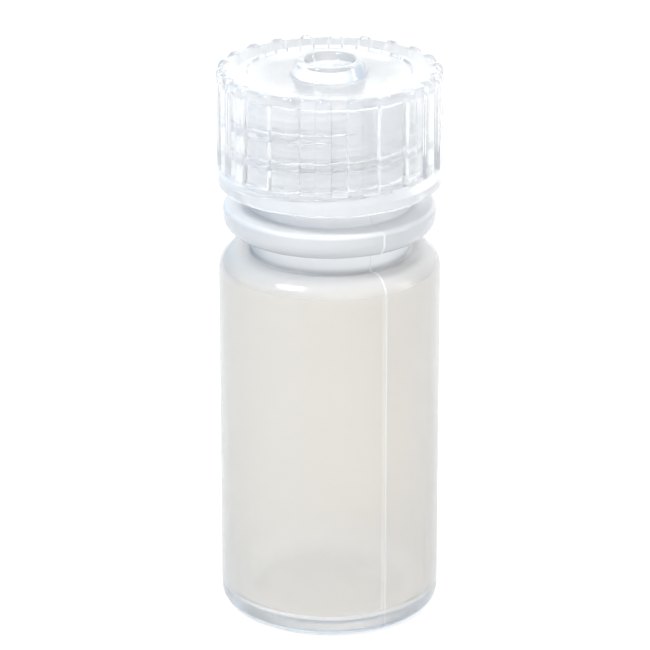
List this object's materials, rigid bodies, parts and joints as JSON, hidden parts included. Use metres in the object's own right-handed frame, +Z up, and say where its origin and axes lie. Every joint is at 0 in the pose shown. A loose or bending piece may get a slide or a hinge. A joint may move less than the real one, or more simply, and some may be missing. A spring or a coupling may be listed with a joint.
{
  "type": "reagent bottle",
  "caption": "Small translucent plastic bottle with a round shoulder, a beaded neck and a clear ribbed screw cap that unscrews along its thread.",
  "frame": {"origin": "centre of the foot, on the plane the bottle stands on", "axes": "+Z up along the bottle's axis, towards the cap; -Y is the front; the two halves of the mould meet in a plane that holds the axis, with their parting lines 120 and 300 degrees round from +X, counter-clockwise seen from above"},
  "size_m": [0.0242, 0.0242, 0.0624],
  "materials": {
    "bottle": "translucent natural polypropylene, satin",
    "cap": "clear polypropylene, polished",
    "seal": "clear polypropylene, polished"
  },
  "bodies": {
    "bottle": {"bottle": "bottle"},
    "seal_ring": {"seal_ring": "seal"},
    "cap": {"cap": "cap"}
  },
  "joints": [
    {"name": "cap_rise", "type": "slide", "parent": "bottle", "child": "seal_ring", "axis": [0, 0, 1], "range_m": [0, 0.01588]},
    {"name": "cap_turn", "type": "hinge", "parent": "seal_ring", "child": "cap", "pos_m": [0, 0, 0.0575], "axis": [0, 0, 1], "range_deg": [0, 1800]}
  ],
  "couplings": [
    {"joint": "cap_rise", "follows": "cap_turn", "m_per_rad": 0.00050532}
  ]
}
